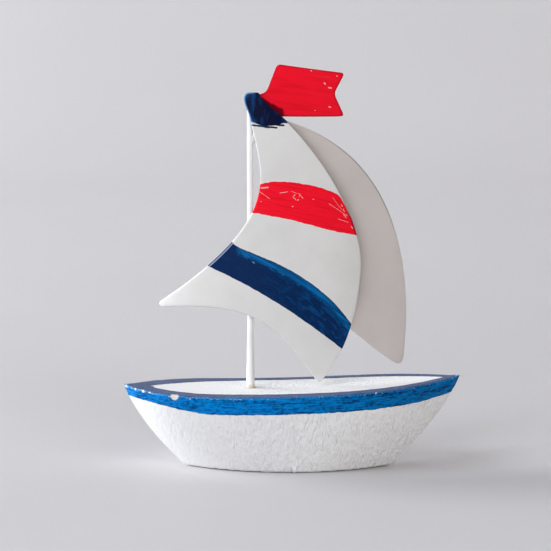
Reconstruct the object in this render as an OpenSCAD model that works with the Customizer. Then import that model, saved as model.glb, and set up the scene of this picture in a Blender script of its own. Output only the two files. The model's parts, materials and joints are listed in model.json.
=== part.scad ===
// Small wooden sailboat ornament: a solid painted hull, a wire mast that stands in a
// drilled socket, and three pieces of painted sheet steel soldered to the mast.
//
// Origin: on the resting surface, under the middle of the hull's length.
// +X runs aft, from the bow to the stern; +Y runs to port; +Z is up.

/* [Hull] */
// Overall length of the hull at the deck
hull_length = 120; // [110:1:130]
// Widest point of the deck
hull_beam = 32.8; // [30:0.2:38]
// Height of the deck amidships above the resting surface
hull_height = 29.1; // [26:0.1:32]
// Rise of the deck edge from amidships to each tip
sheer_rise = 2.5; // [1:0.1:3]
// Extra height of the stern tip, and the same amount taken off the bow tip
stern_lift = 1.7; // [0:0.1:2]
// Length of the flat bottom
bottom_length = 73; // [65:1:80]
// Width of the flat bottom
bottom_beam = 20.8; // [18:0.2:24]
// How far the flat bottom sits towards the bow
bottom_shift = 1.5; // [0:0.1:3]
// Outward belly of the stems and sides between bottom and deck
flare_belly = 0.47; // [0.2:0.01:0.6]
// Fullness of the bow at the deck
bow_fullness = 4.9; // [3:0.1:6]
// Fullness of the stern at the deck
stern_fullness = 3.4; // [3:0.1:6]
// Fullness of both ends of the flat bottom
bottom_fullness = 2.2; // [2:0.1:3]

/* [Mast] */
// Distance of the mast ahead of the middle of the hull
mast_ahead = 14.7; // [12:0.1:18]
// Diameter of the bare wire mast with its paint
mast_d = 2.1; // [1.6:0.1:2.4]
// Diameter of the thicker foot of the mast
mast_foot_d = 3.1; // [2.6:0.1:3.6]
// Height above the deck at which the foot has tapered down to the wire
mast_taper_h = 22; // [10:1:24]
// Height of the top of the mast above the resting surface
mast_top = 132.5; // [131:0.1:133]
// Depth of the mast socket in the deck
socket_depth = 12; // [8:0.5:16]
// Radial clearance of the mast foot in its socket
socket_clearance = 0.05; // [0.02:0.01:0.1]

/* [Sheet metal] */
// Thickness of the painted sheet
sheet_t = 0.8; // [0.6:0.1:1]
// Gap between the mast and a sheet beside it, filled by solder only at the beads
mast_gap = 0.05; // [0.05:0.05:0.1]
// Radius of the front sail's belly
front_radius = 80; // [76:1:86]
// Distance of the front sail's deepest line ahead of the middle of the hull
front_belly_ahead = 6; // [4:1:8]
// Radius of the rear sail's belly
rear_radius = 150; // [140:5:170]
// Angle at which the rear sail leaves the mast
rear_angle = 3; // [2:0.5:4]
// Radius of the pennant's bend
pennant_radius = 90; // [80:5:120]

/* [Solder] */
// Radius of a bead of solder
bead_r = 0.9; // [0.75:0.05:0.9]
// Straight length of a bead of solder
bead_length = 2; // [1:0.5:3]

/* [Hidden] */

$fn = 96;
bend_fn = 256;
stations = 52;
levels = 12;
curve_steps = 22;
corner_steps = 5;

half_length = hull_length / 2;
mast_x = -mast_ahead;
mast_r = mast_d / 2;
foot_r = mast_foot_d / 2;
socket_r = foot_r + socket_clearance;
drill_half_angle = 59;
drill_point_h = socket_r / tan(drill_half_angle);
foot_end_gap = 0.05;

// Height of the deck where the mast stands
mast_deck = hull_height + sheer_rise * pow(mast_x / half_length, 2) + stern_lift * mast_x / half_length;

// Distance from the mast's axis to the middle of a sheet that stands beside it
sheet_offset = mast_r + mast_gap + sheet_t / 2;

// Reach of the straight cut that trims each sheet, along Y
trim_low = -20;
trim_high = 40;

// Sail corners and curves, as [x, z] in the hull's own frame
front_head_aft = [-11.6, 134.3];
front_head_fore = [-15.5, 134.3];
front_head_cheek = [-16.6, 133.5];
front_head = [[-16.8, 132.2], [-16.9, 129.7], [-14.6, 126.8], [-14.2, 123]];
front_luff = [[-14.2, 123], [-9.4, 101.8], [-4.4, 90.7], [-47, 58.5]];
front_tack_turn = [-48, 57.2];
front_foot = [[-46.5, 56.5], [-16, 60.5], [-6, 55], [9, 31]];
front_clew_turn = [9.9, 30.5];
front_leech_low = [[10.8, 31.7], [20.5, 42], [24, 59], [24.5, 72]];
front_leech_high = [[24.5, 72], [24.6, 89.3], [12, 110.3], [-1.6, 124.2]];
front_leech_head = [[-1.6, 124.2], [-5.6, 127.9], [-10.7, 131.4], [-11.2, 133.6]];

rear_head_fore = [-14.4, 125];
rear_luff = [[-14.2, 124.2], [-7.5, 112], [-8, 88], [-16, 75.6]];
rear_tack_turn = [-16.6, 74.4];
rear_foot = [[-15.6, 74], [12, 59], [30, 39], [38.2, 34.6]];
rear_clew_turn = [40.5, 33.6];
rear_leech = [[40.8, 37.5], [44.2, 73], [36, 112], [-2, 124]];
rear_head_aft = [-4.5, 125];

pennant_corners = [[-15, 125.8], [18.5, 125], [14.8, 133.2], [18.6, 140.3], [-5.2, 144],
                   [-9, 134.1], [-15, 132.2]];
pennant_corner_r = 1.5;

// Heights of the beads of solder
head_bead_z = 129;
luff_bead_z = 118;
foot_bead_z = 58.5;
rear_head_bead_z = 122.8;
rear_tack_bead_z = 77.5;
pennant_bead_z = 129.5;

// How far a bead's middle stands from the mast's axis, along X and Y, in mast radii
bead_out = 1.1;
bead_aside = 0.9;

// ---- Curves ----

function lerp(a, b, t) = a + (b - a) * t;

function quad_point(c, t) = lerp(lerp(c[0], c[1], t), lerp(c[1], c[2], t), t);

function cubic_point(c, t) =
    lerp(quad_point([c[0], c[1], c[2]], t), quad_point([c[1], c[2], c[3]], t), t);

function cubic(c) = [for (i = [0 : curve_steps]) cubic_point(c, i / curve_steps)];

// A curve that carries on from the end of another, so its own first point is left out
function cubic_onward(c) = [for (i = [1 : curve_steps]) cubic_point(c, i / curve_steps)];

// The inner points of a rounded turn between the ends of two curves
function turn(a, b, c) = [for (i = [1 : corner_steps - 1]) quad_point([a, b, c], i / corner_steps)];

function towards(a, b, d) = a + (b - a) * d / norm(b - a);

// A closed outline with every corner rounded
function rounded(points, r) = [
    for (i = [0 : len(points) - 1])
        let (here = points[i],
             before = points[(i + len(points) - 1) % len(points)],
             after = points[(i + 1) % len(points)],
             turn_ends = [towards(here, before, r), here, towards(here, after, r)])
            for (j = [0 : corner_steps]) quad_point(turn_ends, j / corner_steps)
];

// ---- Hull surface ----

// Share of the flare reached at height fraction u, from 0 at the bottom to 1 at the deck
function flare(u) = u + flare_belly * u * (1 - u);

function end_reach(t, u) = t < 0
    ? lerp(bottom_length / 2 + bottom_shift, half_length, flare(u))
    : lerp(bottom_length / 2 - bottom_shift, half_length, flare(u));

function fullness(t, u) = lerp(bottom_fullness, t < 0 ? bow_fullness : stern_fullness, u);

function half_width(t, u) =
    lerp(bottom_beam, hull_beam, flare(u)) / 2 * (1 - pow(abs(t), fullness(t, u)));

function deck_height(t) = hull_height + sheer_rise * t * t + stern_lift * t;

// A point of the hull's skin at station t, from -1 at the bow to 1 at the stern
function skin_point(t, u, side) = [t * end_reach(t, u), side * half_width(t, u), u * deck_height(t)];

function station(i) = -cos(180 * i / stations);

// One closed ring of points at height fraction u: starboard side aft, then port side forward
function skin_ring(u) = concat(
    [for (i = [0 : stations]) skin_point(station(i), u, i % stations == 0 ? 0 : -1)],
    [for (i = [stations - 1 : -1 : 1]) skin_point(station(i), u, 1)]
);

module hull_skin() {
    ring = 2 * stations;
    top = levels * ring;
    points = [for (j = [0 : levels]) each skin_ring(j / levels)];
    side_faces = [
        for (j = [0 : levels - 1], i = [0 : ring - 1])
            let (a = j * ring + i, b = j * ring + (i + 1) % ring)
                each [[a, a + ring, b + ring], [a, b + ring, b]]
    ];
    bottom_face = [[for (i = [0 : ring - 1]) i]];
    // The deck is straight from side to side, so each strip of it between two stations is flat
    deck_middle = [
        for (i = [1 : stations - 2])
            [top + i, top + ring - i, top + ring - i - 1, top + i + 1]
    ];
    deck_ends = [
        [top, top + ring - 1, top + 1],
        [top + stations - 1, top + stations + 1, top + stations]
    ];
    polyhedron(points, concat(side_faces, bottom_face, deck_middle, deck_ends));
}

// A blind hole as a twist drill leaves it, with a conical end
module mast_socket() {
    mouth = 5;
    translate([mast_x, 0, mast_deck - socket_depth])
        cylinder(r = socket_r, h = socket_depth + mouth);
    translate([mast_x, 0, mast_deck - socket_depth - drill_point_h])
        cylinder(r1 = 0, r2 = socket_r, h = drill_point_h);
}

module hull_block() {
    color("whitesmoke") difference() {
        hull_skin();
        mast_socket();
    }
}

// ---- Rig ----

// The foot fits the socket, then tapers down to plain wire above the deck
module mast_wire() {
    foot_end = mast_deck - socket_depth + foot_end_gap;
    color("gainsboro") translate([mast_x, 0, 0]) rotate_extrude() polygon([
        [0, foot_end],
        [foot_r, foot_end],
        [foot_r, mast_deck],
        [mast_r, mast_deck + mast_taper_h],
        [mast_r, mast_top],
        [0, mast_top]
    ]);
}

// A full tube whose wall is the bent sheet, about an upright axis
module bent_wall(axis_xy, radius) {
    tube_h = 160;
    overrun = 1;
    translate([axis_xy[0], axis_xy[1], 0]) difference() {
        cylinder(r = radius + sheet_t / 2, h = tube_h, $fn = bend_fn);
        translate([0, 0, -overrun])
            cylinder(r = radius - sheet_t / 2, h = tube_h + 2 * overrun, $fn = bend_fn);
    }
}

// A sheet cut to an [x, z] outline and bent about an upright axis
module bent_sheet(outline, axis_xy, radius) {
    intersection() {
        translate([0, trim_high, 0]) rotate([90, 0, 0])
            linear_extrude(trim_high - trim_low) polygon(outline);
        bent_wall(axis_xy, radius);
    }
}

// Axis of the front sail's bend: the mast touches the sail's hollow side
front_axis = let (dx = mast_x + front_belly_ahead, reach = front_radius - sheet_offset)
    [-front_belly_ahead, sqrt(reach * reach - dx * dx)];

// Axis of the rear sail's bend: the sail leaves the port side of the mast
rear_axis = [mast_x - rear_radius * sin(rear_angle), sheet_offset + rear_radius * cos(rear_angle)];

pennant_axis = [mast_x, sheet_offset + pennant_radius];

module front_sail_sheet() {
    outline = concat(
        [front_head_aft, front_head_fore, front_head_cheek],
        cubic(front_head),
        cubic_onward(front_luff),
        turn(front_luff[3], front_tack_turn, front_foot[0]),
        cubic(front_foot),
        turn(front_foot[3], front_clew_turn, front_leech_low[0]),
        cubic(front_leech_low),
        cubic_onward(front_leech_high),
        cubic_onward(front_leech_head)
    );
    color("white") bent_sheet(outline, front_axis, front_radius);
}

module rear_sail_sheet() {
    outline = concat(
        [rear_head_aft, rear_head_fore],
        cubic(rear_luff),
        turn(rear_luff[3], rear_tack_turn, rear_foot[0]),
        cubic(rear_foot),
        turn(rear_foot[3], rear_clew_turn, rear_leech[0]),
        cubic(rear_leech)
    );
    color("gainsboro") bent_sheet(outline, rear_axis, rear_radius);
}

module pennant_sheet() {
    color("crimson")
        bent_sheet(rounded(pennant_corners, pennant_corner_r), pennant_axis, pennant_radius);
}

// A bead of solder in the corner between the mast and a sheet. It fills the space on the
// mast's side of the sheet, where axis_xy and radius give the sheet's bend. side is +1 aft
// of the mast or -1 ahead of it, and face is -1 for a sheet to starboard or +1 to port.
module solder_bead(z, side, face, axis_xy, radius) {
    bead_x = mast_x + side * mast_r * bead_out;
    bead_y = face * mast_r * bead_aside;
    bearing = atan2(bead_y - axis_xy[1], bead_x - axis_xy[0]);
    color("silver") difference() {
        intersection() {
            translate([bead_x, bead_y, z - bead_length / 2]) union() {
                cylinder(r = bead_r, h = bead_length);
                sphere(r = bead_r);
                translate([0, 0, bead_length]) sphere(r = bead_r);
            }
            if (face < 0)
                translate([axis_xy[0], axis_xy[1], 0]) rotate([0, 0, bearing])
                    cylinder(r = radius - sheet_t / 2, h = mast_top + bead_length, $fn = bend_fn);
        }
        if (face > 0)
            translate([axis_xy[0], axis_xy[1], 0]) rotate([0, 0, bearing])
                cylinder(r = radius + sheet_t / 2, h = mast_top + bead_length, $fn = bend_fn);
        translate([mast_x, 0, 0]) cylinder(r = mast_r, h = mast_top + bead_length);
    }
}

module head_solder_bead() { solder_bead(head_bead_z, 1, -1, front_axis, front_radius); }

module luff_solder_bead() { solder_bead(luff_bead_z, 1, -1, front_axis, front_radius); }

module foot_solder_bead() { solder_bead(foot_bead_z, -1, -1, front_axis, front_radius); }

module rear_head_solder_bead() { solder_bead(rear_head_bead_z, 1, 1, rear_axis, rear_radius); }

module rear_tack_solder_bead() { solder_bead(rear_tack_bead_z, -1, 1, rear_axis, rear_radius); }

module pennant_solder_bead() { solder_bead(pennant_bead_z, 1, 1, pennant_axis, pennant_radius); }

hull_block();  // hull
mast_wire();  // mast
front_sail_sheet();  // front_sail
rear_sail_sheet();  // rear_sail
pennant_sheet();  // pennant
head_solder_bead();  // head_solder
luff_solder_bead();  // luff_solder
foot_solder_bead();  // foot_solder
rear_head_solder_bead();  // rear_head_solder
rear_tack_solder_bead();  // rear_tack_solder
pennant_solder_bead();  // pennant_solder
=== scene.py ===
import json
import math

import bmesh
import bpy
import numpy as np
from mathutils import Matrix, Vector, kdtree, noise
from mathutils.geometry import delaunay_2d_cdt


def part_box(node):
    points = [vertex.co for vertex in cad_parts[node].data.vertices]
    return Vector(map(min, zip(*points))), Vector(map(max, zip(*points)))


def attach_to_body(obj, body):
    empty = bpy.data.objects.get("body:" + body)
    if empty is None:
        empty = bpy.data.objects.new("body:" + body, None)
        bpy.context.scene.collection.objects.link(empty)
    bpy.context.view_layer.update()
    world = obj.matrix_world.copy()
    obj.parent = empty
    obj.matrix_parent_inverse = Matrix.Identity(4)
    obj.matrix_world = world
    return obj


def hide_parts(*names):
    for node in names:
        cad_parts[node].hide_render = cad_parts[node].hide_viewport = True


# The looks of a painted wooden sailboat ornament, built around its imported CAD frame.
# Lengths named here are millimetres, and MM turns them into Blender's metres.
# The bow points to -X, so the port side is at -Y and the starboard side at +Y.

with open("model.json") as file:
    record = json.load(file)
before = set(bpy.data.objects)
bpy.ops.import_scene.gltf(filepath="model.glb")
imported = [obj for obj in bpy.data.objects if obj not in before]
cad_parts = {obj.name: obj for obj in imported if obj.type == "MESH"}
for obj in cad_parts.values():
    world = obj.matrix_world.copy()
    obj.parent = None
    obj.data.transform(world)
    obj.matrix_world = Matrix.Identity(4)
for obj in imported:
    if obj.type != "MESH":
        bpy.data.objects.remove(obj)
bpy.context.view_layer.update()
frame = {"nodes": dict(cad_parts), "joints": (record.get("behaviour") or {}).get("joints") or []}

MM = 0.001
NODE_BOX = {node: [np.array(corner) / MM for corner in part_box(node)] for node in frame["nodes"]}
RIG_AXIS = np.array(frame["joints"][0]["pos_m"][:2]) / MM

# ---- Hull form, driven by the hull's box ----

HULL_HIGH = NODE_BOX["hull"][1]
HALF_LENGTH = HULL_HIGH[0]
HALF_BEAM = HULL_HIGH[1]
SHEER_RISE = 2.5
STERN_LIFT = 1.7
DECK_HEIGHT = HULL_HIGH[2] - SHEER_RISE - STERN_LIFT
BOTTOM_HALF_LENGTH = 36.5
BOTTOM_HALF_BEAM = 10.4
BOTTOM_SHIFT = 1.5
FLARE_BELLY = 0.47
BOW_FULLNESS = 4.9
STERN_FULLNESS = 3.4
BOTTOM_FULLNESS = 2.2
BAND_DEPTH = 6.5
BAND_BOW_RISE = 2.6
BAND_STERN_RISE = 0.7
FIELD_HALF_WIDTH = 11.4
FIELD_BOW_END = 50.5
FIELD_STERN_END = 54.0
FIELD_FULLNESS = 3.25
FIELD_BULGE = 1.5
SOCKET_R = 1.6
SOCKET_DEPTH = 12.0
DRILL_HALF_ANGLE = math.radians(59)


# ---- Small maths ----

def smoothstep(low, high, value):
    share = np.clip((value - low) / (high - low), 0.0, 1.0)
    return share * share * (3.0 - 2.0 * share)


def bezier(controls, count):
    """Points along a quadratic or cubic curve, both ends included."""
    points = [np.array(c, float)[None, :] for c in controls]
    share = np.linspace(0.0, 1.0, count)[:, None]
    while len(points) > 1:
        points = [a + (b - a) * share for a, b in zip(points, points[1:])]
    return points[0]


def noise_at(points, stretch, seed):
    """Smooth noise from about -1 to 1 at each point, stretched per axis (cycles per mm)."""
    scaled = np.asarray(points) * np.array(stretch) + seed * 17.3
    return np.array([noise.noise(Vector(p)) for p in scaled])


def resample(loop, spacing):
    """A closed outline with its points about evenly spaced, and its long edges divided."""
    closed = np.vstack([loop, loop[:1]])
    steps = np.linalg.norm(np.diff(closed, axis=0), axis=1)
    along = np.concatenate([[0.0], np.cumsum(steps)])
    count = max(8, int(round(along[-1] / spacing)))
    places = np.linspace(0.0, along[-1], count, endpoint=False)
    return np.stack([np.interp(places, along, closed[:, k]) for k in (0, 1)], axis=1)


def inside(points, loop):
    """Which points lie inside a closed outline."""
    found = np.zeros(len(points), bool)
    for a, b in zip(loop, np.roll(loop, -1, axis=0)):
        crosses = (a[1] > points[:, 1]) != (b[1] > points[:, 1])
        if crosses.any():
            at = a[0] + (points[:, 1] - a[1]) * (b[0] - a[0]) / (b[1] - a[1] + 1e-12)
            found ^= crosses & (points[:, 0] < at)
    return found


def distance_to(points, targets):
    """Distance from each point to the nearest target point."""
    pad = 3 - np.shape(targets)[1]
    tree = kdtree.KDTree(len(targets))
    for i, p in enumerate(np.pad(targets, ((0, 0), (0, pad)))):
        tree.insert(Vector(p), i)
    tree.balance()
    return np.array([tree.find(Vector(p))[2] for p in np.pad(points, ((0, 0), (0, pad)))])


def nearest_index(points, targets):
    tree = kdtree.KDTree(len(targets))
    for i, p in enumerate(targets):
        tree.insert((*p, 0.0), i)
    tree.balance()
    return np.array([tree.find((*p, 0.0))[1] for p in points])


def hex_grid(low, high, spacing):
    rows = []
    for j, y in enumerate(np.arange(low[1], high[1], spacing * 0.866)):
        xs = np.arange(low[0] + (j % 2) * spacing / 2, high[0], spacing)
        rows.append(np.stack([xs, np.full(len(xs), y)], axis=1))
    return np.vstack(rows)


def triangulate(loops, spacing, margin, extra=()):
    """Triangles that fill the first loop around any further loops, with an even grid inside.
    Every loop's own points are kept, and so are extra's."""
    outer = loops[0]
    grid = hex_grid(outer.min(0), outer.max(0), spacing)
    grid = grid[inside(grid, outer)]
    keep = distance_to(grid, np.vstack(loops + list(extra))) > margin
    for hole in loops[1:]:
        keep &= ~inside(grid, hole)
    grid = grid[keep]
    points = np.vstack(loops + list(extra) + [grid])
    edges, start = [], 0
    for loop in loops:
        n = len(loop)
        edges += [(start + i, start + (i + 1) % n) for i in range(n)]
        start += n
    made = delaunay_2d_cdt([Vector(p) for p in points], edges, [], 1, 1e-6)
    flat = np.array([list(v) for v in made[0]])
    faces = [tuple(f) for f in made[2]]
    middles = np.array([flat[list(f)].mean(0) for f in faces])
    ok = inside(middles, outer)
    for hole in loops[1:]:
        ok &= ~inside(middles, hole)
    return flat, [f for f, k in zip(faces, ok) if k]


# ---- Meshes ----

def new_object(name, points, faces, merge=0.0):
    """A smooth-shaded mesh object from millimetre points."""
    mesh = bpy.data.meshes.new(name)
    mesh.from_pydata([tuple(p) for p in np.asarray(points) * MM], [], faces)
    work = bmesh.new()
    work.from_mesh(mesh)
    if merge:
        bmesh.ops.remove_doubles(work, verts=work.verts, dist=merge * MM)
    bmesh.ops.recalc_face_normals(work, faces=work.faces)
    work.to_mesh(mesh)
    work.free()
    mesh.shade_smooth()
    made = bpy.data.objects.new(name, mesh)
    bpy.context.scene.collection.objects.link(made)
    return made


def mesh_points(made):
    flat = np.zeros(len(made.data.vertices) * 3)
    made.data.vertices.foreach_get("co", flat)
    return flat.reshape(-1, 3) / MM


def mesh_normals(made):
    flat = np.zeros(len(made.data.vertices) * 3)
    made.data.vertices.foreach_get("normal", flat)
    return flat.reshape(-1, 3)


def set_points(made, points):
    made.data.vertices.foreach_set("co", (np.asarray(points) * MM).ravel())
    made.data.update()


def set_value(made, name, values):
    layer = made.data.attributes.new(name, "FLOAT", "POINT")
    layer.data.foreach_set("value", np.asarray(values, float))


def set_vector(made, name, values):
    layer = made.data.attributes.new(name, "FLOAT_VECTOR", "POINT")
    layer.data.foreach_set("vector", np.asarray(values, float).ravel())


def relax(made, weight, passes):
    """Evens out the marked vertices, which rounds the creases that they stand along."""
    points = mesh_points(made)
    edges = np.zeros(len(made.data.edges) * 2, int)
    made.data.edges.foreach_get("vertices", edges)
    a, b = edges.reshape(-1, 2).T
    count = np.bincount(np.concatenate([a, b]), minlength=len(points))[:, None]
    for _ in range(passes):
        total = np.zeros_like(points)
        np.add.at(total, a, points[b])
        np.add.at(total, b, points[a])
        points += weight[:, None] * 0.5 * (total / count - points)
    set_points(made, points)


def tube_faces(start, rows, around):
    """Four-sided faces between rows of points that each close on themselves."""
    faces = []
    for j in range(rows - 1):
        for i in range(around):
            a, b = start + j * around + i, start + j * around + (i + 1) % around
            faces.append((a, b, b + around, a + around))
    return faces


# ---- Hull ----

def deck_z(x):
    t = x / HALF_LENGTH
    return DECK_HEIGHT + SHEER_RISE * t * t + STERN_LIFT * t


def hull_point(t, u, side):
    flare = u + FLARE_BELLY * u * (1 - u)
    bottom_end = BOTTOM_HALF_LENGTH - np.sign(t) * BOTTOM_SHIFT
    reach = bottom_end + (HALF_LENGTH - bottom_end) * flare
    full = BOTTOM_FULLNESS + (np.where(t < 0, BOW_FULLNESS, STERN_FULLNESS) - BOTTOM_FULLNESS) * u
    width = BOTTOM_HALF_BEAM + (HALF_BEAM - BOTTOM_HALF_BEAM) * flare
    y = side * width * (1 - np.abs(t) ** full)
    z = u * (DECK_HEIGHT + SHEER_RISE * t * t + STERN_LIFT * t)
    return np.stack([t * reach, y, z + 0 * t], axis=-1)


# Chips along the rim: x of the middle, half length, depth below the rim, half height, side
CHIPS = [
    (-41.4, 1.6, 1.0, 0.95, -1), (-59.3, 0.8, 0.5, 0.6, -1), (-55.6, 0.4, 0.7, 0.35, -1),
    (-53.0, 0.9, 0.7, 0.28, -1), (-50.3, 0.5, 0.6, 0.2, -1), (-35.8, 0.5, 1.0, 0.2, -1),
    (58.9, 0.7, 0.3, 0.4, 1), (-20.5, 0.9, 0.5, 0.4, 1), (24.0, 1.3, 0.6, 0.5, 1),
    (47.0, 0.7, 0.5, 0.4, 1), (-47.0, 1.2, 0.6, 0.6, 1), (29.5, 0.3, 0.6, 0.15, -1),
]
CHIP_REACH = 3.0
CHIP_CUT = 0.28
# A run of paint at the foot of the port side, and the nick beside it
DRIP_X = 0.9
NICK_X = -0.1


def chip_depth(points, rim):
    """How far inside a chip a point lies: 1 in its middle, 0 on its edge."""
    wobble = 0.35 * noise_at(points, (0.9, 0.9, 0.9), 5)
    best = np.full(len(points), -1.0)
    for x, half, below, tall, side in CHIPS:
        off = np.hypot((points[:, 0] - x) / half, (rim - below) / tall)
        value = np.where(points[:, 1] * side >= -0.3, 1 - off, -1.0)
        best = np.maximum(best, value)
    return best + wobble


def hull_skin(stations, levels):
    """The skin's rings of points from the bottom to the rim: port side aft, starboard side back."""
    share = np.linspace(-1, 1, stations + 1)
    t = 0.55 * share + 0.45 * np.sin(share * math.pi / 2)
    rings = []
    for u in np.linspace(0, 1, levels + 1):
        rings.append(np.vstack([hull_point(t, u, -1.0), hull_point(t[-2:0:-1], u, 1.0)]))
    return np.array(rings)


def socket_rings(mouth, depths):
    """The drilled socket's wall, from the deck down to its floor."""
    floor_z = deck_z(RIG_AXIS[0]) - SOCKET_DEPTH
    rings = []
    for share in np.arange(depths + 1) / depths:
        z = deck_z(mouth[:, 0]) * (1 - share) + floor_z * share
        rings.append(np.column_stack([mouth, z]))
    tip = [*RIG_AXIS, floor_z - SOCKET_R / math.tan(DRILL_HALF_ANGLE)]
    return rings, [tip]


def hull_mesh(rings):
    """The bare hull: its skin, the deck round the socket's mouth, the sole and the socket."""
    levels, around = rings.shape[:2]
    skin, bottom, rim = rings.reshape(-1, 3), rings[0], rings[-1]
    faces = tube_faces(0, levels, around)

    turn = np.linspace(0, 2 * math.pi, 49)[:-1]
    circle = np.stack([np.cos(turn), np.sin(turn)], axis=1)
    mouth = RIG_AXIS + SOCKET_R * circle
    lip = RIG_AXIS + (SOCKET_R + 0.35) * circle
    flat, tris = triangulate([rim[:, :2], mouth], spacing=0.6, margin=0.4, extra=[lip])
    deck = np.column_stack([flat, deck_z(flat[:, 0])])
    start = len(skin)
    faces += [tuple(start + i for i in f) for f in tris]
    flat, tris = triangulate([bottom[:, :2]], spacing=1.6, margin=0.8)
    sole = np.column_stack([flat, np.zeros(len(flat))])
    start += len(deck)
    faces += [tuple(start + i for i in f) for f in tris]
    start += len(sole)

    socket, tip = socket_rings(mouth, 12)
    n = len(mouth)
    faces += tube_faces(start, len(socket), n)
    end = start + len(socket) * n
    faces += [(end - n + i, end - n + (i + 1) % n, end) for i in range(n)]
    return new_object("hull_wood", np.vstack([skin, deck, sole] + socket + [tip]), faces, merge=0.002)


def soften_creases(made, rings):
    """Rounds the stems, the foot and the rim as thick paint does, but keeps the tips' reach."""
    here = mesh_points(made)
    bottom, rim = rings[0], rings[-1]
    stems = rings[:, [0, rings.shape[1] // 2]].reshape(-1, 3)
    from_tip = np.abs(here[:, 0])
    near_crease = distance_to(here, np.vstack([bottom, rim, stems]))
    soft = (1 - smoothstep(0.12, 0.5, near_crease)) * (from_tip < 58)
    soft_rim = (1 - smoothstep(0.3, 1.0, distance_to(here, rim))) * (from_tip < 57)
    soft_foot = 1 - smoothstep(0.3, 0.9, distance_to(here, bottom))
    relax(made, soft, 3)
    relax(made, soft_foot, 5)
    relax(made, soft_rim, 8)


def brush_relief(here, on_side, on_deck):
    """How far the paint stands out from the wood: slow waves, and the brush's dabs and streaks."""
    waves = 0.10 * noise_at(here, (0.05, 0.09, 0.09), 1) - 0.08
    brush = 0.05 * noise_at(here, (0.75, 0.75, 0.22), 2) + 0.05 * noise_at(here, (0.5, 0.5, 0.42), 3)
    brush *= 0.2 + 0.9 * smoothstep(-45, -8, here[:, 0])
    streak = 0.025 * noise_at(here, (0.12, 1.2, 1.0), 4)
    return np.where(on_side, waves + brush, 0.0) + np.where(on_deck, waves * 0.5 + streak, 0.0)


def foot_marks(here):
    """The run of paint and the nick at the foot of the port side."""
    drip = np.exp(-((here[:, 0] - DRIP_X) / 0.5) ** 2) * smoothstep(3.2, 1.2, here[:, 2])
    nick = np.exp(-((here[:, 0] - NICK_X) / 0.3) ** 2) * smoothstep(2.6, 1.0, here[:, 2])
    return (0.45 * drip - 0.4 * nick) * (here[:, 1] < -8)


def blue_over_side(here):
    """How far a point on the side lies above the lower edge of the blue band."""
    band = BAND_DEPTH - BAND_BOW_RISE * smoothstep(26, 54, -here[:, 0])
    band -= BAND_STERN_RISE * smoothstep(38, HALF_LENGTH, here[:, 0])
    return here[:, 2] - (deck_z(here[:, 0]) - band)


def blue_over_deck(here):
    """How far a point on the deck lies outside the white field."""
    field_end = np.where(here[:, 0] < 0, FIELD_BOW_END, FIELD_STERN_END)
    field = FIELD_HALF_WIDTH * (1 - (np.abs(here[:, 0]) / field_end) ** FIELD_FULLNESS)
    bulge = smoothstep(-15, -38, here[:, 0]) * (here[:, 1] < 0) * (here[:, 0] > -49)
    field += FIELD_BULGE * bulge
    return np.clip((np.abs(here[:, 1]) - field) * 0.9, -8, 8)


def hull_piece():
    rings = hull_skin(stations=300, levels=66)
    made = hull_mesh(rings)
    soften_creases(made, rings)

    here, normal = mesh_points(made), mesh_normals(made)
    rim_gap = distance_to(here, rings[-1])
    socket_gap = np.hypot(*(here[:, :2] - RIG_AXIS).T)
    on_deck = (normal[:, 2] > 0.7) & (here[:, 2] > DECK_HEIGHT - 3)
    in_socket = socket_gap < SOCKET_R + 0.1
    on_side = (np.abs(normal[:, 2]) < 0.8) & ~in_socket
    chips = chip_depth(here, rim_gap)
    push = brush_relief(here, on_side, on_deck)
    push -= CHIP_CUT * smoothstep(-0.1, 0.5, chips) * (rim_gap < CHIP_REACH)
    push += foot_marks(here) * on_side
    push[in_socket] = 0.0
    push *= smoothstep(0.0, 0.5, here[:, 2])
    here = here + normal * push[:, None]
    here[:, 0] = np.clip(here[:, 0], 0.02 - HALF_LENGTH, HALF_LENGTH - 0.02)
    set_points(made, here)

    set_value(made, "blue", np.where(on_deck, blue_over_deck(here), blue_over_side(here)))
    set_value(made, "rim", rim_gap)
    set_value(made, "chip", np.where(rim_gap < CHIP_REACH, chips, -1.0))
    set_value(made, "socket", socket_gap)
    set_value(made, "deck", smoothstep(0.5, 0.9, normal[:, 2]) * (here[:, 2] > 20))
    across = np.where(on_deck, here[:, 1], here[:, 2] - deck_z(here[:, 0]))
    set_vector(made, "stroke", np.column_stack([here[:, 0], across, here[:, 1] * 0.2]))
    set_vector(made, "place", here)
    return made


# ---- Bent sheets ----

SHEET_HALF = 0.4
EDGE_RINGS = [0.0, 0.03, 0.1, 0.22, 0.38]
OUTLINE_SPACING = 0.42
FINE_SPACING = 0.06


class Bend:
    """The upright axis and radius that a flat sheet is bent about."""

    def __init__(self, axis, radius):
        self.axis = np.array(axis)
        self.radius = radius

    def place(self, flat, off):
        """Flat [x, z] points on the bent sheet, off millimetres towards port."""
        angle = np.arcsin((flat[:, 0] - self.axis[0]) / self.radius)
        reach = self.radius + off
        x = self.axis[0] + reach * np.sin(angle)
        y = self.axis[1] - reach * np.cos(angle)
        return np.column_stack([x, y, flat[:, 1]])

    def along(self, x):
        return self.radius * np.arcsin((x - self.axis[0]) / self.radius)


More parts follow.
